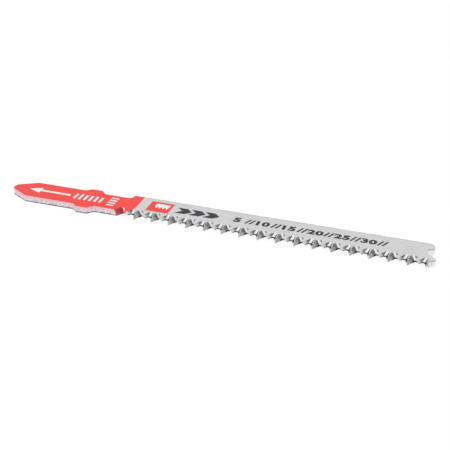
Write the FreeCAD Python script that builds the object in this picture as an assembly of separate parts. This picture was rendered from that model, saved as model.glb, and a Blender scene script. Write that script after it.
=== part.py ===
# Jigsaw blade with a T shank and fine teeth ground slantwise from alternate faces.
# One flat piece of steel that lies on its underside: X runs from the shank's nose to the end,
# Y from the teeth to the back edge, Z through the thickness. Lengths are in millimetres.
import FreeCAD, Part
import os
from math import floor, radians, sin, tan

# Whole blade
overall_length = 83.0
thickness = 1.25
blade_width = 7.15              # from the line of the tooth tips to the back edge

# Teeth, which stand in pairs: one with its tip on the underside, the next with it on the top face
tooth_pitch = 1.735
tooth_front_angle = 20.0        # between a tooth's front, which faces the shank, and the width
tooth_back_angle = 31.0
slant_angle = 25.3              # between a gullet's length and the blade's thickness
gullet_floor_width = 0.59
root_radius = 0.25              # between a gullet's floor and its walls
tip_land = 0.05                 # width of the small flat that is left at a tip
first_tip_from_nose = 26.25
first_gullet_widening = 0.3     # the first gullet reaches this much further into the neck

# T shank: a tang with a lug on each side, then a neck. A jigsaw's holder fixes its sizes, so they
# stay as they are on a wider or narrower blade.
shank_axis_height = 3.13        # above the line of the tooth tips
tang_width = 5.9
nose_radius = 1.3
nose_angle = 30.0               # of each side of the nose to the shank's axis
nose_shoulder_radius = 1.5
lug_span = 7.7                  # across both lugs
lug_flat_from_nose = 14.8
lug_flat_length = 2.2
lug_front_angle = 45.0
lug_front_radius = 1.2
lug_rear_angle = 48.0
lug_rear_radius = 0.8
lug_corner_radius = 0.25
neck_width = 5.4
body_from_nose = 23.7           # where the back edge begins
body_shoulder_angle = 80.0
body_shoulder_radius = 0.6
body_corner_radius = 0.3

# End of the blade: a toe beside the teeth, and a shorter back half with a round notch between
back_half_step = 0.97           # the back half ends this much short of the toe
back_corner_radius = 1.15
end_notch_radius = 1.22
end_notch_inset = 0.92          # from the toe's end to the notch's centre
end_notch_height = 4.08         # above the line of the tooth tips
toe_chamfer_run = 1.5
toe_chamfer_rise = 1.25
toe_face_height = 0.42
toe_top_angle = 46.7
toe_corner_radius = 0.15
least_toe_length = 1.2          # of plain edge past the last tip

# Worked out from the sizes above
pair_pitch = 2 * tooth_pitch
pair_count = floor((overall_length - first_tip_from_nose - least_toe_length) / pair_pitch)
front_slope = tan(radians(tooth_front_angle))
back_slope = tan(radians(tooth_back_angle))
grind_shift = thickness * tan(radians(slant_angle))
gullet_mouth = tooth_pitch + grind_shift - tip_land
gullet_depth = (gullet_mouth - gullet_floor_width) / (front_slope + back_slope)
lug_height = (lug_span - tang_width) / 2
lowest_edge = min(0, shank_axis_height - lug_span / 2)
highest_edge = max(blade_width, shank_axis_height + lug_span / 2)
width_centre = (lowest_edge + highest_edge) / 2
longest_reach = 0.48            # of a rounding, as a share of the shorter side beside it


def place(x, y, z=0.0):
    """A point given from the nose and from the line of the tooth tips, in the part's own frame."""
    return FreeCAD.Vector(x - overall_length / 2, y - width_centre, z)


def rounded_wire(corners):
    """A closed outline through corners (x, y, radius), each rounded by a tangent arc."""
    points = [place(x, y) for x, y, radius in corners]
    edges = []
    ends = []
    for index, here in enumerate(points):
        before = points[index - 1] - here
        after = points[(index + 1) % len(points)] - here
        half = before.getAngle(after) / 2
        longest = longest_reach * min(before.Length, after.Length)
        reach = min(corners[index][2] / tan(half), longest)
        start = here + before.normalize() * reach
        finish = here + after.normalize() * reach
        ends.append((start, finish))
        if reach > 0:
            radius = reach * tan(half)
            middle = here + (before + after).normalize() * (radius / sin(half) - radius)
            edges.append(Part.Arc(start, middle, finish).toShape())
    for index, (start, finish) in enumerate(ends):
        next_start = ends[(index + 1) % len(ends)][0]
        edges.append(Part.LineSegment(finish, next_start).toShape())
    return Part.Wire(Part.__sortEdges__(edges))


def nose_corner():
    """The corner that the nose's two sides would meet in, rounded by the nose's radius."""
    return (nose_radius - nose_radius / sin(radians(nose_angle)), shank_axis_height, nose_radius)


def shank_side(side):
    """Corners of one long side of the shank from nose to neck; side is 1 at the back, or -1."""
    tang = shank_axis_height + side * tang_width / 2
    lug = shank_axis_height + side * lug_span / 2
    neck = shank_axis_height + side * neck_width / 2
    nose_end = nose_corner()[0] + tang_width / 2 / tan(radians(nose_angle))
    front_run = lug_height / tan(radians(lug_front_angle))
    lug_end = lug_flat_from_nose + lug_flat_length
    rear_run = (lug_span - neck_width) / 2 / tan(radians(lug_rear_angle))
    return [
        (nose_end, tang, nose_shoulder_radius),
        (lug_flat_from_nose - front_run, tang, lug_front_radius),
        (lug_flat_from_nose, lug, lug_corner_radius),
        (lug_end, lug, lug_corner_radius),
        (lug_end + rear_run, neck, lug_rear_radius),
    ]


def back_shoulder():
    """The step from the neck up to the back edge."""
    neck = shank_axis_height + neck_width / 2
    run = (blade_width - neck) / tan(radians(body_shoulder_angle))
    return [
        (body_from_nose - run, neck, body_shoulder_radius),
        (body_from_nose, blade_width, body_corner_radius),
    ]


def tooth_side_step():
    """The step from the neck down to the line of the tips, which the first gullet takes away."""
    neck = shank_axis_height - neck_width / 2
    step = first_tip_from_nose - 1.5 * tooth_pitch
    return [(step, neck, 0), (step, 0, 0)]


def blade_end():
    """Corners of the blade's end, from the toe at the teeth to the back edge."""
    toe_top = toe_chamfer_rise + toe_face_height
    back_half_end = overall_length - back_half_step
    slope_top = toe_top + back_half_step * tan(radians(toe_top_angle))
    return [
        (overall_length - toe_chamfer_run, 0, 0),
        (overall_length, toe_chamfer_rise, toe_corner_radius),
        (overall_length, toe_top, toe_corner_radius),
        (back_half_end, slope_top, 0),
        (back_half_end, blade_width, back_corner_radius),
    ]


def blank():
    """The flat blade before its notch and teeth are cut."""
    tooth_side = shank_side(-1) + tooth_side_step()
    back_side = shank_side(1) + back_shoulder()
    outline = rounded_wire([nose_corner()] + tooth_side + blade_end() + back_side[::-1])
    return Part.Face(outline).extrude(FreeCAD.Vector(0, 0, thickness))


def end_notch():
    """The round notch in the blade's end."""
    base = place(overall_length - end_notch_inset, end_notch_height, -thickness)
    return Part.makeCylinder(end_notch_radius, 3 * thickness, base)


def gullet(left, right, shift):
    """One gullet, whose walls cross the line of the tips at left and right on the underside.

    Its left wall is the back of one tooth and its right wall the front of the next. It leans along
    the blade, by shift from the underside to the top face.
    """
    back_run = gullet_depth * back_slope
    front_run = gullet_depth * front_slope
    outline = rounded_wire([
        (left - back_run, -gullet_depth, 0),
        (left + back_run, gullet_depth, root_radius),
        (right - front_run, gullet_depth, root_radius),
        (right + front_run, -gullet_depth, 0),
    ])
    lean = FreeCAD.Vector(shift, 0, thickness)
    outline.translate(lean * -0.5)
    return Part.Face(outline).extrude(lean * 2)


def gullets():
    """The gullets, one before each tooth: none follows the last tip, which is on the underside."""
    inset = tip_land / 2
    cuts = []
    for pair in range(-1, pair_count):
        lower_tip = first_tip_from_nose + pair * pair_pitch
        upper_tip = lower_tip + tooth_pitch
        next_tip = upper_tip + tooth_pitch
        widening = first_gullet_widening if pair == -1 else 0
        start = lower_tip + inset - widening
        cuts.append(gullet(start, upper_tip - inset + grind_shift, -grind_shift))
        cuts.append(gullet(upper_tip + inset - grind_shift, next_tip - inset, grind_shift))
    return cuts


def blade():
    """The finished blade."""
    return blank().cut(end_notch()).cut(gullets())


os.makedirs("parts", exist_ok=True)
blade().exportStep("parts/blade.step")
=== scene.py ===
# Looks of the jigsaw blade: ground and sheared steel, red paint on the shank and plain printed
# marks, on a pale floor. X runs from the shank's nose to the far end, Y from the teeth to the back
# edge, Z up through the thickness to the printed face. Lengths are in millimetres unless a comment
# says metres, and MM turns them into metres.
from math import cos, radians, sin, tan

import bmesh
import bpy
from mathutils import Matrix, Vector


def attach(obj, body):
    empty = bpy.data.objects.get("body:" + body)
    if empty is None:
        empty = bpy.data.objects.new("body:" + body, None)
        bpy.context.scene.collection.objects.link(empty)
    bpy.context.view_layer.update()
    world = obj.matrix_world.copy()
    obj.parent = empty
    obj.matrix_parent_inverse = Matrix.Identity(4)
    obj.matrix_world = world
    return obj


MM = 0.001

# Sizes of the blade that its finishes follow
THICKNESS = 1.25
TIP_LINE = -3.215               # Y of the tooth tips
GULLET_DEPTH = 1.75
GRIND_SLANT = 25.3              # degrees between a gullet's length and the thickness
FIRST_GULLET_START = -19.65     # X
LAST_GULLET_END = 41.0          # X
PAIR_PITCH = 3.47               # from one tooth with its tip on the printed face to the next
UPPER_TIP = -13.54              # X of the first of them past the neck
FRONT_ANGLE = 20.0              # degrees between a tooth's front and the width
RIDGE_RISE = 0.98               # of a tooth's ridge across the blade, for each millimetre from its tip
BACK_EDGE = 3.935               # Y
SHANK_AXIS = -0.085             # Y
TANG_WIDTH = 5.9
TANG_END = -29.4                # X where the lugs begin

# Where the blade's finishes change. A pair is where a finish begins and where it is complete.
PAINT_END = -15.75              # X at which the red paint stops
PAINT_FADE = 0.06
GULLET_PAINT_END = -17.6        # X on the underside at which the first gullet's paint stops
GULLET_PAINT_FADE = 0.08
END_CUT = 39.6                  # X past which the walls are cut clean
EDGE_REACH = 0.3                # of the dull strips along the long edges
CUT_RIM = (THICKNESS - 0.3, THICKNESS - 0.12)           # Z, of the dull rim on the clean cut walls
# Painted shade along the underside of the sheared walls
UNDERSIDE_SHADE_TOP = (0.5, 0.36)      # Z
SHARP = 0.05                    # width of a border between finishes
SOFT = 0.3                      # the same, where they blend

# Finishes, painted light and painted shade inside the gullets. Heights are above the line of the tips.
GROUND_TOP = (GULLET_DEPTH + 0.06, GULLET_DEPTH + 0.03)         # height
ROOT_BAND = (GULLET_DEPTH - 0.4, GULLET_DEPTH - 0.3)            # height
# Painted light near the tips of the teeth's downward backs, and painted highlight along the teeth's
# front ridges
TIP_LIGHT_REACH = (0.9, 0.1)           # height above the tooth's ridge
RIDGE_HIGHLIGHT_WIDTH = (0.85, 0.55)      # height above the tooth's ridge
# Painted shadow at the foot of the gullets' roots, next to the floor
ROOT_FOOT_SHADOW_HEIGHT = (0.95, 1.3)
ROOT_FOOT_SHADOW_TOP = (0.48, 0.3)          # Z
LINE_STRETCH = 0.12             # of the grinding lines' texture through the thickness
# Painted shade beside each gullet's root on the printed face
CORNER_SHADE_WIDTH = (0.3, 0.2)         # from the front of the tooth
CORNER_SHADE_START = (0.85, 1.05)       # height
CORNER_SHADE_END = (GULLET_DEPTH, GULLET_DEPTH - 0.12)                  # height
FIRST_CORNER_SHADE = (UPPER_TIP - 2.0, UPPER_TIP - 1.9)                 # X

# Kinds of face. A pair is the part of the normal at which the kind begins and is complete.
LEVEL = (0.9, 0.95)             # Z
LEANING = (0.015, 0.03)         # Z, either way
UPWARD = (0.1, 0.3)             # Z
DOWNWARD = (-0.1, -0.3)         # Z
TOWARDS_NOSE = (-0.08, -0.3)    # X
ROOT_FLOOR = (-0.78, -0.93)     # Y

# Printed marks. A place is X and Y of the corner nearest to the nose and the teeth.
INK_THICKNESS = 0.012
INK_LIFT = 0.0005               # between the steel and the ink, so that their faces don't fight
SQUARE = (-13.73, -1.04, 4.54, 3.95)            # place, length, width
SQUARE_TEETH = (1.2, 1.35, 2.8, 1.9, 4)         # place in the square, length, width, count
STRIP_TOOTH_SHARE = 0.45        # of the strip's width that its teeth take up
CHEVRONS = (-8.17, -0.15, 2.17)                 # place, width
CHEVRON_COUNT = 3
CHEVRON_STEP = 2.75
CHEVRON_LENGTH = 3.1
CHEVRON_STROKE = 1.95
SCALE = (2.92, 0.12, 1.74)                      # place, width
SCALE_COUNT = 6
SCALE_STEP = 5.0
FIRST_NUMBER = 1.0              # from the scale's X to the middle of its first number
NUMBER_WIDENING = 1.3
NUMBER_WEIGHT = 0.05
NUMBER_SPACING = 1.08
NUMBER_CURVE_STEPS = 3
SAME_POINT = 1e-5
TICK_COUNT = 2
FIRST_TICK = 2.1                # from the middle of the number before it
TICK_STEP = 0.85
TICK_LENGTH = 0.4
TICK_SLANT = 0.4
SHANK_MARK = (-38.2, -1.1, 2.14)                # place, width
ARROW_LENGTH = 8.6
ARROW_HEAD = 2.4
ARROW_STROKE = 0.62
SHANK_BAR_COUNT = 6
FIRST_SHANK_BAR = 9.8           # from the mark's X
SHANK_BAR_STEP = 1.05
SHANK_BAR_LENGTH = 0.45
NECK_MARK = (-21.58, -1.72, 1.53)               # place, length
NECK_BAR_COUNT = 4
FIRST_NECK_BAR = 0.35           # from the mark's Y
NECK_BAR_STEP = 0.95
NECK_BAR_WIDTH = 0.42

# Floor, sky and lamp
FLOOR_REACH = 3.0               # metres
FLOOR_DROP = 0.01               # below the blade, so that their faces don't fight
FLOOR_GREY = 0.93
FLOOR_GLOW = 0.82               # share of plain white that the camera sees
SKY_LOW = 0.42
SKY_GAIN = 0.62                 # from the horizon to the top
SKY_BAND = (0.05, 0.42)         # Z of the direction, over which the sky grows brighter
LAMP_PLACE = (0.15, -0.9, 0.55)                 # metres
LAMP_TARGET = (0, 0, 0)
LAMP_SIZE = 0.6                 # metres
LAMP_POWER = 3.0                # watts

# Camera of the photograph, worked out from the teeth
CAMERA_AZIMUTH = 19.267
CAMERA_ELEVATION = 27.443
CAMERA_ROLL = 0.254
CAMERA_LENS = 104.78
CAMERA_SENSOR = 36.0
CAMERA_DISTANCE = 243.3
CAMERA_TARGET = (1.649, 0.543, 0.0)
NEAREST_SEEN = 0.001            # metres

# Colour sockets of a Mix node
MIX_FIRST = 6
MIX_SECOND = 7
MIX_RESULT = 2


class Tree:
    """A node tree, with one method that adds any node."""

    def __init__(self, nodes):
        self.nodes = nodes

    def add(self, kind, settings=None, inputs=None):
        node = self.nodes.nodes.new(kind)
        for name, value in (settings or {}).items():
            setattr(node, name, value)
        for key, value in (inputs or {}).items():
            self.feed(node.inputs[key], value)
        return node

    def feed(self, socket, value):
        if isinstance(value, Field):
            value = value.socket
        if isinstance(value, bpy.types.NodeSocket):
            self.nodes.links.new(value, socket)
        else:
            socket.default_value = value

    def field(self, kind, settings=None, inputs=None, output=0):
        return Field(self, self.add(kind, settings, inputs).outputs[output])

    def maths(self, operation, *values):
        return self.field("ShaderNodeMath", {"operation": operation}, dict(enumerate(values)))

    def rise(self, value, start, end):
        """0 before start and 1 after end, with a smooth rise between them."""
        return self.field(
            "ShaderNodeMapRange",
            {"interpolation_type": "SMOOTHSTEP"},
            {"Value": value, "From Min": start, "From Max": end},
        )

    def blend(self, factor, first, second):
        """Goes from the first colour to the second as the factor goes from 0 to 1."""
        node = self.add("ShaderNodeMix", {"data_type": "RGBA"})
        self.feed(node.inputs["Factor"], factor)
        self.feed(node.inputs[MIX_FIRST], first)
        self.feed(node.inputs[MIX_SECOND], second)
        return node.outputs[MIX_RESULT]

    def noise(self, vector, scale, detail, rough):
        return self.field(
            "ShaderNodeTexNoise",
            None,
            {"Vector": vector, "Scale": scale, "Detail": detail, "Roughness": rough},
            "Fac",
        )

    def vector(self, x, y, z):
        return self.add("ShaderNodeCombineXYZ", None, {"X": x, "Y": y, "Z": z}).outputs[0]

    def parts_of(self, socket):
        node = self.add("ShaderNodeSeparateXYZ", None, {0: socket})
        return [Field(self, output) for output in node.outputs]


class Field:
    """A number that varies over a surface. Its operators add Math nodes."""

    def __init__(self, tree, socket):
        self.tree = tree
        self.socket = socket

    def __add__(self, other):
        return self.tree.maths("ADD", self, other)

    def __radd__(self, other):
        return self.tree.maths("ADD", other, self)

    def __sub__(self, other):
        return self.tree.maths("SUBTRACT", self, other)

    def __rsub__(self, other):
        return self.tree.maths("SUBTRACT", other, self)

    def __mul__(self, other):
        return self.tree.maths("MULTIPLY", self, other)

    def __abs__(self):
        return self.tree.maths("ABSOLUTE", self)

    def larger(self, other):
        return self.tree.maths("MAXIMUM", self, other)

    def sign(self):
        return self.tree.maths("SIGN", self)


def new_material(name):
    """A material with an empty tree."""
    material = bpy.data.materials.new(name)
    material.use_nodes = True
    material.node_tree.nodes.clear()
    return material, Tree(material.node_tree)


def finish_material(tree, shader):
    tree.add("ShaderNodeOutputMaterial", None, {"Surface": shader.outputs[0]})


def grey(level):
    return (level, level, level, 1.0)


# Finishes, with painted light and shade

STEEL = (0.71, 0.71, 0.72, 1.0)
STEEL_DARK = (0.61, 0.61, 0.62, 1.0)
EDGE_STEEL = (0.4, 0.4, 0.41, 1.0)
GROUND_STEEL = (0.62, 0.62, 0.63, 1.0)
GROUND_DARK = (0.3, 0.3, 0.31, 1.0)
# Painted shade for the teeth's fronts and beside the gullets' roots
PAINTED_SHADE_STEEL = (0.2, 0.2, 0.21, 1.0)
# Painted highlight for the ridges, the tips and the upward ground faces
PAINTED_HIGHLIGHT_STEEL = (0.95, 0.95, 0.95, 1.0)
# Painted reflection that makes the gullets' roots bright
ROOT_HIGHLIGHT_STEEL = (0.95, 0.95, 0.95, 1.0)
ROOT_FOOT_SHADOW_STEEL = (0.12, 0.12, 0.13, 1.0)
SHEARED_STEEL = (0.9, 0.9, 0.91, 1.0)
SHEARED_DULL = (0.52, 0.51, 0.52, 1.0)
CUT_STEEL = (0.9, 0.9, 0.91, 1.0)
CUT_DULL = (0.46, 0.46, 0.47, 1.0)
UNDERSIDE_SHADE_STEEL = (0.16, 0.16, 0.17, 1.0)
PAINT_RED = (0.82, 0.03, 0.017, 1.0)
PAINT_RED_DARK = (0.68, 0.022, 0.019, 1.0)
PAINT_EDGE_AND_SHADE = (0.42, 0.012, 0.035, 1.0)
PAINT_MIST = (0.88, 0.26, 0.38, 1.0)
INK_DARK = (0.028, 0.028, 0.031, 1.0)
INK_WORN = (0.05, 0.05, 0.053, 1.0)
INK_WHITE = (0.86, 0.84, 0.83, 1.0)
INK_WHITE_WORN = (0.7, 0.7, 0.7, 1.0)
INK_SHEEN = 0.5
DARK_INK_SHEEN = 0.22
STEEL_ROUGHNESS = 0.34
PAINT_ROUGHNESS = 0.42
DARK_INK_ROUGHNESS = 0.5
WHITE_INK_ROUGHNESS = 0.45
STEEL_RELIEF = 0.012
INK_RELIEF = 0.01


class Surface:
    """Coordinates in millimetres, normals and textures of a face, and what kind of face it is."""

    def __init__(self, tree):
        self.tree = tree
        place = tree.add("ShaderNodeTexCoord").outputs["Object"]
        self.x, self.y, self.z = [part * (1 / MM) for part in tree.parts_of(place)]
        normal = tree.add("ShaderNodeNewGeometry").outputs["True Normal"]
        self.nx, self.ny, self.nz = tree.parts_of(normal)
        self.height = self.y - TIP_LINE
        self.flat = tree.rise(abs(self.nz), *LEVEL)
        self.printed = tree.rise(self.nz, *LEVEL)
        self.ground = self.ground_faces()
        self.wall = (1 - self.flat) * (1 - self.ground)
        self.edge = self.near_edge()
        self.grain = self.noise(1.0, 3.0, 0.6, (0.35, 9, 9))
        self.cloud = self.noise(0.8, 3.0, 0.55, (0.5, 0.9, 1))
        self.speck = self.noise(7.0, 2.0, 0.6)
        self.pits = self.noise(4.5, 3.0, 0.6)
        self.lines = self.grinding_lines()

    def noise(self, scale, detail, rough, stretch=(1, 1, 1)):
        vector = self.tree.vector(
            self.x * stretch[0], self.y * stretch[1], self.z * stretch[2]
        )
        return self.tree.noise(vector, scale, detail, rough)

    def ground_faces(self):
        """The gullets' walls, which lean along the blade, and their roots, which don't."""
        rise = self.tree.rise
        in_teeth = rise(self.height, *GROUND_TOP)
        in_teeth = in_teeth * rise(self.x, FIRST_GULLET_START, FIRST_GULLET_START + SHARP)
        in_teeth = in_teeth * rise(self.x, LAST_GULLET_END, LAST_GULLET_END - SHARP)
        leaning = rise(abs(self.nz), *LEANING)
        root = rise(self.height, *ROOT_BAND)
        return in_teeth * leaning.larger(root) * (1 - self.flat)

    def near_edge(self):
        """1 beside the long edges of the tang and beside the back edge."""
        rise = self.tree.rise
        past_tang = rise(self.x, TANG_END, TANG_END + SOFT)
        from_axis = abs(self.y - SHANK_AXIS)
        tang = rise(from_axis, TANG_WIDTH / 2 - EDGE_REACH, TANG_WIDTH / 2 - EDGE_REACH / 2)
        back = rise(self.y, BACK_EDGE - EDGE_REACH, BACK_EDGE - EDGE_REACH / 2)
        return tang * (1 - past_tang) + back * past_tang

    def grinding_lines(self):
        """Fine lines along each gullet, whose lean shows in its normal."""
        lean = (self.nx * self.nz).sign() * -tan(radians(GRIND_SLANT))
        across = self.tree.vector(self.x - lean * self.z, self.y, self.z * LINE_STRETCH)
        return self.tree.noise(across, 9.0, 2.0, 0.6)

    def ridge_gap(self):
        """How far a ground face's point lies above the ridge that leads up from its tooth's tip."""
        middle = THICKNESS / 2
        from_tip = middle + self.nz.sign() * (self.z - middle)
        return self.height - from_tip * RIDGE_RISE

    def root_corner_shade(self):
        """Painted shade: a short dark dash on the printed face beside each gullet's root, where the
        root's corner lies in shade.
        """
        from_front = self.x - UPPER_TIP + self.height * tan(radians(FRONT_ANGLE))
        along = self.tree.maths("FLOORED_MODULO", from_front, PAIR_PITCH)
        strip = self.tree.rise(along, *CORNER_SHADE_WIDTH)
        reach = self.tree.rise(self.height, *CORNER_SHADE_START)
        reach = reach * self.tree.rise(self.height, *CORNER_SHADE_END)
        past_neck = self.tree.rise(self.x, *FIRST_CORNER_SHADE)
        return self.printed * strip * reach * past_neck


def rolled_steel(tree, face):
    """The flat faces: a rolled grain lengthwise, dull dashes along the edges and painted shade beside
    the gullets' roots.
    """
    tone = tree.rise(face.grain * 0.5 + face.cloud * 0.3 + face.speck * 0.2, 0.35, 0.66)
    steel = tree.blend(tone, STEEL_DARK, STEEL)
    dashes = face.edge * tree.rise(face.noise(1.1, 2.0, 0.6), 0.42, 0.56) * 0.75
    steel = tree.blend(dashes, steel, EDGE_STEEL)
    # Painted shade beside the gullets' roots
    return tree.blend(face.root_corner_shade(), steel, PAINTED_SHADE_STEEL)


def ground_steel(tree, face):
    """The gullets: lined backs, with painted light and shade: bright roots, dark tooth fronts with a
    bright ridge, lighter tips and upward faces, and a shadow at each root's foot.
    """
    patches = face.noise(1.6, 2.0, 0.5)
    tone = tree.rise(face.lines * 0.75 + patches * 0.25, 0.38, 0.6)
    steel = tree.blend(tone, GROUND_DARK, GROUND_STEEL)
    gap = face.ridge_gap()
    # Painted light: a little on the upward faces, more on the downward backs near their tips
    tip_light = tree.rise(face.nz, *DOWNWARD) * tree.rise(gap, *TIP_LIGHT_REACH)
    painted_light = tree.rise(face.nz, *UPWARD) * 0.12 + tip_light * 0.5
    steel = tree.blend(painted_light, steel, PAINTED_HIGHLIGHT_STEEL)
    front = tree.rise(face.nx, *TOWARDS_NOSE)
    # Painted shade: the fronts of the teeth, which face the nose, are darkened
    steel = tree.blend(front, steel, PAINTED_SHADE_STEEL)
    # Painted highlight along the ridge of each tooth's front
    steel = tree.blend(front * tree.rise(gap, *RIDGE_HIGHLIGHT_WIDTH), steel, PAINTED_HIGHLIGHT_STEEL)
    # Painted reflection: the roots' floors, which face the front, are made bright
    steel = tree.blend(tree.rise(face.ny, *ROOT_FLOOR), steel, ROOT_HIGHLIGHT_STEEL)
    # Painted shadow at the foot of each root, next to the floor, with a ragged top
    foot_shadow = tree.rise(face.height, *ROOT_FOOT_SHADOW_HEIGHT) * tree.rise(face.z + patches * 0.2, *ROOT_FOOT_SHADOW_TOP)
    return tree.blend(foot_shadow, steel, ROOT_FOOT_SHADOW_STEEL)


def painted_underside_shade(tree, face):
    """Painted shade along the underside of the sheared walls, up to a ragged line, but not at the
    blade's end.
    """
    ragged = face.noise(1.5, 3.0, 0.6, (1, 1, 0.2)) * 0.5
    before_end = tree.rise(face.x, END_CUT, END_CUT - SOFT)
    return face.wall * before_end * tree.rise(face.z + ragged, *UNDERSIDE_SHADE_TOP)


def sheared_steel(tree, face, underside_shade):
    """The sheared walls, which are rough, and the cleaner cut ones at the blade's end, with painted
    shade along the underside.
    """
    steel = tree.blend(tree.rise(face.pits, 0.36, 0.58), SHEARED_DULL, SHEARED_STEEL)
    dull = tree.rise(face.noise(1.7, 3.0, 0.65), 0.54, 0.64)
    rim = tree.rise(face.z, *CUT_RIM)
    cut = tree.blend(dull.larger(rim), CUT_STEEL, CUT_DULL)
    steel = tree.blend(tree.rise(face.x, END_CUT - SOFT, END_CUT), steel, cut)
    return tree.blend(underside_shade, steel, UNDERSIDE_SHADE_STEEL)


def paint_cover(tree, face):
    """How much paint lies on the shank.

    It covers the printed face and the first gullet's wall beside the shank, and is a mist on the
    other walls.
    """
    end_noise = face.noise(3.0, 2.0, 0.5) * 0.06
    on_shank = tree.rise(face.x + end_noise, PAINT_END + PAINT_FADE, PAINT_END)
    mist = tree.rise(face.z * 0.3 + face.noise(2.4, 3.0, 0.65, (1, 1, 1.6)), 0.5, 1.0)
    at_underside = face.x + face.z * tan(radians(GRIND_SLANT))
    in_gullet = tree.rise(at_underside, GULLET_PAINT_END + GULLET_PAINT_FADE, GULLET_PAINT_END)
    worn = 1 - tree.rise(face.pits, 0.56, 0.66) * 0.7
    return on_shank * (face.printed + face.wall * mist * 0.7 + face.ground * in_gullet * worn)


def paint_colour(tree, face):
    """Red that is darker in patches and along the edges, and darkest in the first gullet, where that
    dark is painted shade.
    """
    shade = tree.rise(face.cloud * 0.6 + face.speck * 0.4, 0.26, 0.5)
    red = tree.blend(shade, PAINT_RED_DARK, PAINT_RED)
    red = tree.blend(face.edge * face.flat * 0.75, red, PAINT_EDGE_AND_SHADE)
    red = tree.blend(face.wall, red, PAINT_MIST)
    # Painted shade: the paint in the first gullet is darkened
    return tree.blend(face.ground, red, PAINT_EDGE_AND_SHADE)


def steel_and_paint():
    """Bare steel in its different finishes with painted light and shade, and the shank's paint over
    it.
    """
    material, tree = new_material("blade_steel_and_paint")
    face = Surface(tree)
    # Painted shade along the walls' underside, where the walls are also made rougher
    underside_shade = painted_underside_shade(tree, face)
    bare = tree.blend(face.wall, rolled_steel(tree, face), sheared_steel(tree, face, underside_shade))
    bare = tree.blend(face.ground, bare, ground_steel(tree, face))
    paint = paint_cover(tree, face)
    colour = tree.blend(paint, bare, paint_colour(tree, face))

    metal_roughness = STEEL_ROUGHNESS + face.grain * 0.1 + face.wall * 0.2 + underside_shade * 0.25
    roughness = metal_roughness * (1 - paint) + paint * (PAINT_ROUGHNESS + face.speck * 0.1)
    relief = (face.grain * 0.3 + face.speck * 0.2) * face.flat
    relief = relief + face.lines * face.ground + face.pits * face.wall * 1.6
    bump = tree.add(
        "ShaderNodeBump",
        None,
        {"Strength": 0.35, "Distance": STEEL_RELIEF * MM, "Height": relief},
    )
    shader = tree.add(
        "ShaderNodeBsdfPrincipled",
        None,
        {
            "Base Color": colour,
            "Metallic": 1 - paint,
            "Roughness": roughness,
            "Normal": bump.outputs[0],
        },
    )
    finish_material(tree, shader)
    return material


def ink(name, colour, worn_colour, roughness, sheen=INK_SHEEN):
    """Matt printing ink with a slightly uneven cover."""
    material, tree = new_material(name)
    place = tree.add("ShaderNodeTexCoord").outputs["Object"]
    cover = tree.noise(place, 2.2 / MM, 3.0, 0.6)
    grain = tree.noise(place, 9.0 / MM, 2.0, 0.5)
    bump = tree.add(
        "ShaderNodeBump",
        None,
        {"Strength": 0.2, "Distance": INK_RELIEF * MM, "Height": grain},
    )
    shader = tree.add(
        "ShaderNodeBsdfPrincipled",
        None,
        {
            "Base Color": tree.blend(tree.rise(cover, 0.3, 0.6), worn_colour, colour),
            "Roughness": roughness + cover * 0.15,
            "Specular IOR Level": sheen,
            "Normal": bump.outputs[0],
        },
    )
    finish_material(tree, shader)
    return material


# Printed marks

def printed_solid(name, outlines, material):
    """A thin layer of ink on the printed face, with the given outlines (lists of X, Y)."""
    mesh = bmesh.new()
    for outline in outlines:
        low = [mesh.verts.new((x, y, 0)) for x, y in outline]
        face = mesh.faces.new(low)
        raised = bmesh.ops.extrude_face_region(mesh, geom=[face])
        tops = [item for item in raised["geom"] if isinstance(item, bmesh.types.BMVert)]
        bmesh.ops.translate(mesh, verts=tops, vec=(0, 0, INK_THICKNESS))
    bmesh.ops.recalc_face_normals(mesh, faces=mesh.faces)
    data = bpy.data.meshes.new(name)
    mesh.to_mesh(data)
    mesh.free()
    return printed_piece(name, data, material)


def printed_piece(name, data, material):
    """Puts a mesh in millimetres on the printed face and makes it a piece."""
    data.transform(Matrix.Scale(MM, 4) @ Matrix.Translation((0, 0, THICKNESS + INK_LIFT)))
    data.name = name
    data.materials.clear()
    data.materials.append(material)
    piece = bpy.data.objects.new(name, data)
    bpy.context.scene.collection.objects.link(piece)
    return piece


def bar_row_tree():
    """Slanted bars of one size in a row."""
    group = bpy.data.node_groups.new("bar_row", "GeometryNodeTree")
    sockets = group.interface
    sockets.new_socket("Geometry", in_out="OUTPUT", socket_type="NodeSocketGeometry")
    for name, kind in (
        ("Count", "NodeSocketInt"),
        ("First", "NodeSocketVector"),
        ("Step", "NodeSocketVector"),
        ("Bar", "NodeSocketVector"),
        ("Slant", "NodeSocketFloat"),
        ("Ink", "NodeSocketMaterial"),
    ):
        sockets.new_socket(name, in_out="INPUT", socket_type=kind)
    tree = Tree(group)
    given = tree.add("NodeGroupInput").outputs
    line = tree.add(
        "GeometryNodeMeshLine",
        {"mode": "OFFSET"},
        {"Count": given["Count"], "Start Location": given["First"], "Offset": given["Step"]},
    )
    bar = tree.add("GeometryNodeMeshCube", None, {"Size": given["Bar"]})
    _, upright, _ = tree.parts_of(tree.add("GeometryNodeInputPosition").outputs[0])
    shear = tree.vector(upright * given["Slant"], 0.0, 0.0)
    slanted = tree.add(
        "GeometryNodeSetPosition", None, {"Geometry": bar.outputs["Mesh"], "Offset": shear}
    )
    copies = tree.add(
        "GeometryNodeInstanceOnPoints",
        None,
        {"Points": line.outputs[0], "Instance": slanted.outputs[0]},
    )
    solid = tree.add("GeometryNodeRealizeInstances", None, {"Geometry": copies.outputs[0]})
    inked = tree.add(
        "GeometryNodeSetMaterial",
        None,
        {"Geometry": solid.outputs[0], "Material": given["Ink"]},
    )
    tree.add("NodeGroupOutput", None, {"Geometry": inked.outputs[0]})
    return group


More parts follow.
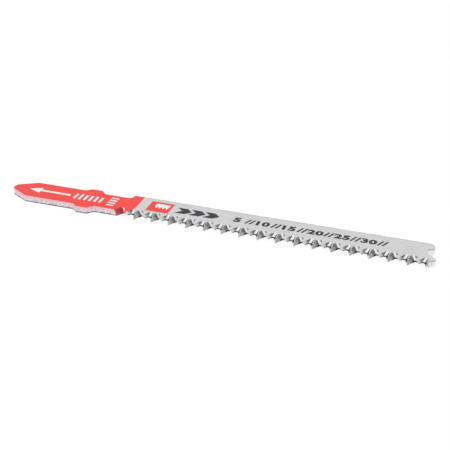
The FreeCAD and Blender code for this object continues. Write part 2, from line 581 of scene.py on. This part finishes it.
def bar_row(name, group, count, first, step, bar, slant, material):
    """A row of printed bars from the bar row's tree, as a plain mesh in millimetres."""
    source = bpy.data.objects.new(name, bpy.data.meshes.new(name))
    bpy.context.scene.collection.objects.link(source)
    modifier = source.modifiers.new("bars", "NODES")
    modifier.node_group = group
    values = {
        "Count": count,
        "First": (first[0], first[1], INK_THICKNESS / 2),
        "Step": (step[0], step[1], 0),
        "Bar": (bar[0], bar[1], INK_THICKNESS),
        "Slant": slant,
        "Ink": material,
    }
    for item in group.interface.items_tree:
        if item.name in values:
            modifier[item.identifier] = values[item.name]
    evaluated = source.evaluated_get(bpy.context.evaluated_depsgraph_get())
    data = bpy.data.meshes.new_from_object(evaluated)
    bpy.data.objects.remove(source)
    return data


def number(text, x, y, height, widen, weight):
    """A plain number as a mesh in millimetres, centred on X and standing on Y."""
    curve = bpy.data.curves.new("number_" + text, "FONT")
    curve.body = text
    curve.size = 1.0
    curve.offset = weight
    curve.resolution_u = NUMBER_CURVE_STEPS
    curve.space_character = NUMBER_SPACING
    source = bpy.data.objects.new(curve.name, curve)
    bpy.context.scene.collection.objects.link(source)
    evaluated = source.evaluated_get(bpy.context.evaluated_depsgraph_get())
    flat = bpy.data.meshes.new_from_object(evaluated)
    bpy.data.objects.remove(source)
    low = Vector([min(vertex.co[axis] for vertex in flat.vertices) for axis in range(3)])
    high = Vector([max(vertex.co[axis] for vertex in flat.vertices) for axis in range(3)])
    size = height / (high.y - low.y)
    solid = bmesh.new()
    solid.from_mesh(flat)
    bmesh.ops.remove_doubles(solid, verts=solid.verts, dist=SAME_POINT)
    raised = bmesh.ops.extrude_face_region(solid, geom=solid.faces[:])
    tops = [item for item in raised["geom"] if isinstance(item, bmesh.types.BMVert)]
    bmesh.ops.translate(solid, verts=tops, vec=(0, 0, INK_THICKNESS / size))
    bmesh.ops.recalc_face_normals(solid, faces=solid.faces)
    solid.to_mesh(flat)
    solid.free()
    scale = Matrix.Diagonal((size * widen, size, size, 1))
    centre = (low.x + high.x) / 2
    flat.transform(Matrix.Translation((x, y, 0)) @ scale @ Matrix.Translation((-centre, -low.y, 0)))
    return flat


def joined(name, meshes, material):
    """Meshes in millimetres, joined into one printed piece."""
    whole = bmesh.new()
    for data in meshes:
        whole.from_mesh(data)
    result = bpy.data.meshes.new(name)
    whole.to_mesh(result)
    whole.free()
    for data in meshes:
        bpy.data.meshes.remove(data)
    return printed_piece(name, result, material)


def rectangle(x, y, length, width):
    return [(x, y), (x + length, y), (x + length, y + width), (x, y + width)]


def chevron(x, y, length, width, stroke):
    """A bold arrowhead stroke that points to +X."""
    middle = y + width / 2
    point = length - stroke
    return [
        (x, y), (x + stroke, y), (x + point + stroke, middle), (x + stroke, y + width),
        (x, y + width), (x + point, middle),
    ]


def tooth_strip(x, y, length, width, count):
    """A bar with a row of teeth below it."""
    pitch = length / count
    root = y + width * STRIP_TOOTH_SHARE
    outline = [(x + length, y + width), (x, y + width), (x, root)]
    for index in range(count):
        left = x + index * pitch
        outline.append((left + pitch / 2, y))
        outline.append((left + pitch, root))
    return outline


def long_arrow(x, y, length, width, head, stroke):
    """An arrow that points to -X."""
    middle = y + width / 2
    return [
        (x, middle), (x + head, y), (x + head, middle - stroke / 2),
        (x + length, middle - stroke / 2), (x + length, middle + stroke / 2),
        (x + head, middle + stroke / 2), (x + head, y + width),
    ]


def chevron_row(material):
    x, y, width = CHEVRONS
    outlines = []
    for index in range(CHEVRON_COUNT):
        left = x + index * CHEVRON_STEP
        outlines.append(chevron(left, y, CHEVRON_LENGTH, width, CHEVRON_STROKE))
    return printed_solid("bold_chevrons", outlines, material)


def depth_scale(group, material):
    """A row of plain numbers with slanted bars after each."""
    x, y, width = SCALE
    step = (TICK_STEP, 0)
    bar = (TICK_LENGTH, width)
    marks = []
    for index in range(SCALE_COUNT):
        middle = x + FIRST_NUMBER + index * SCALE_STEP
        value = str(round(SCALE_STEP) * (index + 1))
        marks.append(number(value, middle, y, width, NUMBER_WIDENING, NUMBER_WEIGHT))
        first = (middle + FIRST_TICK, y + width / 2)
        marks.append(bar_row("ticks", group, TICK_COUNT, first, step, bar, TICK_SLANT, material))
    return joined("depth_scale", marks, material)


def square_teeth(material):
    """The strip of teeth that is printed on top of the red square."""
    x, y, length, width, count = SQUARE_TEETH
    outline = tooth_strip(SQUARE[0] + x, SQUARE[1] + y, length, width, count)
    strip = printed_solid("square_tooth_strip", [outline], material)
    strip.data.transform(Matrix.Translation((0, 0, INK_THICKNESS * MM)))
    return strip


def shank_arrow(material):
    x, y, width = SHANK_MARK
    outline = long_arrow(x, y, ARROW_LENGTH, width, ARROW_HEAD, ARROW_STROKE)
    return printed_solid("shank_arrow", [outline], material)


def shank_bars(group, material):
    x, y, width = SHANK_MARK
    first = (x + FIRST_SHANK_BAR, y + width / 2)
    step = (SHANK_BAR_STEP, 0)
    bar = (SHANK_BAR_LENGTH, width)
    row = bar_row("bars", group, SHANK_BAR_COUNT, first, step, bar, 0.0, material)
    return joined("shank_bars", [row], material)


def neck_bars(group, material):
    x, y, length = NECK_MARK
    first = (x + length / 2, y + FIRST_NECK_BAR)
    step = (0, NECK_BAR_STEP)
    bar = (length, NECK_BAR_WIDTH)
    row = bar_row("bars", group, NECK_BAR_COUNT, first, step, bar, 0.0, material)
    return joined("neck_bars", [row], material)


def print_marks():
    """Every printed mark, with the record's slot that its finish comes from."""
    dark = ink("dark_ink", INK_DARK, INK_WORN, DARK_INK_ROUGHNESS, DARK_INK_SHEEN)
    white = ink("white_ink", INK_WHITE, INK_WHITE_WORN, WHITE_INK_ROUGHNESS)
    red = ink("red_print", PAINT_RED, PAINT_RED_DARK, PAINT_ROUGHNESS)
    group = bar_row_tree()
    return [
        (chevron_row(dark), "dark_ink"),
        (depth_scale(group, dark), "dark_ink"),
        (printed_solid("printed_square", [rectangle(*SQUARE)], red), "shank_paint"),
        (square_teeth(white), "white_ink"),
        (shank_arrow(white), "white_ink"),
        (shank_bars(group, white), "white_ink"),
        (neck_bars(group, white), "white_ink"),
    ]


# Floor, light and camera

def white_floor():
    """A white floor that keeps the blade's soft shadow."""
    material, tree = new_material("white_floor")
    path = tree.add("ShaderNodeLightPath")
    seen = Field(tree, path.outputs["Is Camera Ray"]).larger(
        Field(tree, path.outputs["Is Glossy Ray"])
    )
    matt = tree.add("ShaderNodeBsdfDiffuse", None, {"Color": grey(FLOOR_GREY)})
    white = tree.add("ShaderNodeEmission", None, {"Color": grey(1.0), "Strength": 1.0})
    mix = tree.add(
        "ShaderNodeMixShader",
        None,
        {0: seen * FLOOR_GLOW, 1: matt.outputs[0], 2: white.outputs[0]},
    )
    finish_material(tree, mix)
    data = bpy.data.meshes.new("floor")
    corners = rectangle(-FLOOR_REACH, -FLOOR_REACH, 2 * FLOOR_REACH, 2 * FLOOR_REACH)
    data.from_pydata([(x, y, 0) for x, y in corners], [], [(0, 1, 2, 3)])
    data.transform(Matrix.Translation((0, 0, -FLOOR_DROP * MM)))
    data.materials.append(material)
    floor = bpy.data.objects.new("floor", data)
    bpy.context.scene.collection.objects.link(floor)


def sky():
    """Even light from above, dimmer near the horizon."""
    world = bpy.data.worlds.new("studio")
    bpy.context.scene.world = world
    world.use_nodes = True
    world.node_tree.nodes.clear()
    tree = Tree(world.node_tree)
    direction = tree.add("ShaderNodeTexCoord").outputs["Generated"]
    _, _, up = tree.parts_of(direction)
    strength = SKY_LOW + tree.rise(up, *SKY_BAND) * SKY_GAIN
    light = tree.add("ShaderNodeBackground", None, {"Color": grey(1.0), "Strength": strength})
    tree.add("ShaderNodeOutputWorld", None, {"Surface": light.outputs[0]})


def front_softbox():
    """A square area lamp that faces the blade, and that the steel doesn't mirror."""
    data = bpy.data.lights.new("front_softbox", "AREA")
    data.shape = "SQUARE"
    data.size = LAMP_SIZE
    data.energy = LAMP_POWER
    lamp = bpy.data.objects.new("front_softbox", data)
    lamp.visible_glossy = False
    bpy.context.scene.collection.objects.link(lamp)
    lamp.location = LAMP_PLACE
    ahead = Vector(LAMP_TARGET) - Vector(LAMP_PLACE)
    lamp.rotation_euler = ahead.to_track_quat("-Z", "Y").to_euler()


def photo_camera():
    """The camera of the photograph."""
    azimuth = radians(CAMERA_AZIMUTH)
    elevation = radians(CAMERA_ELEVATION)
    roll = radians(CAMERA_ROLL)
    ahead = Vector((
        -sin(azimuth) * cos(elevation), cos(azimuth) * cos(elevation), -sin(elevation)
    ))
    level = Vector((cos(azimuth), sin(azimuth), 0))
    above = level.cross(ahead)
    right = level * cos(roll) + above * sin(roll)
    up = above * cos(roll) - level * sin(roll)
    place = Vector(CAMERA_TARGET) * MM - ahead * CAMERA_DISTANCE * MM
    data = bpy.data.cameras.new("camera")
    data.sensor_fit = "HORIZONTAL"
    data.sensor_width = CAMERA_SENSOR
    data.lens = CAMERA_LENS
    data.clip_start = NEAREST_SEEN
    camera = bpy.data.objects.new("camera", data)
    bpy.context.scene.collection.objects.link(camera)
    turn = Matrix((right, up, -ahead)).transposed().to_4x4()
    camera.matrix_world = Matrix.Translation(place) @ turn
    bpy.context.scene.camera = camera


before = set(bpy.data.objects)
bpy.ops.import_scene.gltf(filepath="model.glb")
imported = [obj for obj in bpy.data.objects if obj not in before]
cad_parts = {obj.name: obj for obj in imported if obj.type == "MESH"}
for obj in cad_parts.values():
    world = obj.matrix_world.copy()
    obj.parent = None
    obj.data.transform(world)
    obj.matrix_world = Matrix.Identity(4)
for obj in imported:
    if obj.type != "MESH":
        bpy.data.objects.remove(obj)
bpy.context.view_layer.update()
photo_camera()
white_floor()
sky()
front_softbox()
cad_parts["blade"].material_slots[0].material = steel_and_paint()
for piece, slot in print_marks():
    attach(piece, "root")
bpy.context.scene.view_settings.view_transform = "Standard"
